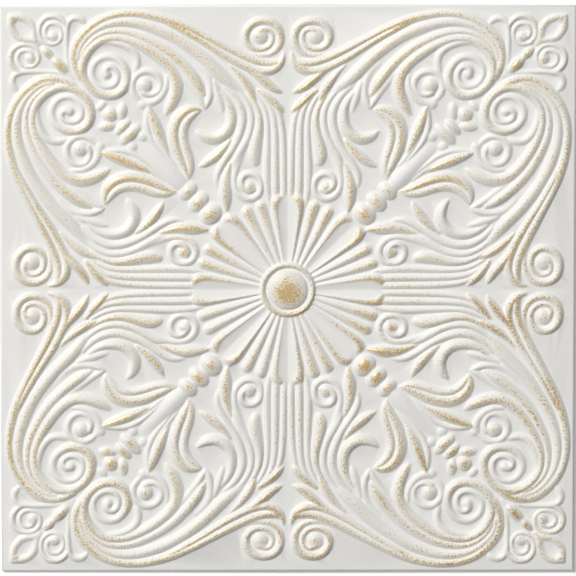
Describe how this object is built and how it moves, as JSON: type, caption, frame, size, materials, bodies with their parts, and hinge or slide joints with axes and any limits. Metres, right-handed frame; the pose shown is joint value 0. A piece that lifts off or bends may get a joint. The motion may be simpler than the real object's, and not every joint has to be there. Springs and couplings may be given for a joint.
{
  "type": "ceiling tile",
  "caption": "Square moulded polystyrene ceiling tile with a rosette, volute and acanthus scroll relief, flat back for gluing.",
  "frame": {"origin": "middle of the tile's flat back, on the surface it is glued to", "axes": "+Z out of the decorated face, away from the glued back; +X and +Y along the tile's two edges"},
  "size_m": [0.5, 0.5, 0.0115],
  "materials": {
    "painted_foam": "fine-grained expanded polystyrene foam, white with a faint satin sheen, gold paint dry-brushed on the crests of the relief"
  },
  "bodies": {
    "root": {"ceiling_tile": "painted_foam"}
  },
  "joints": []
}
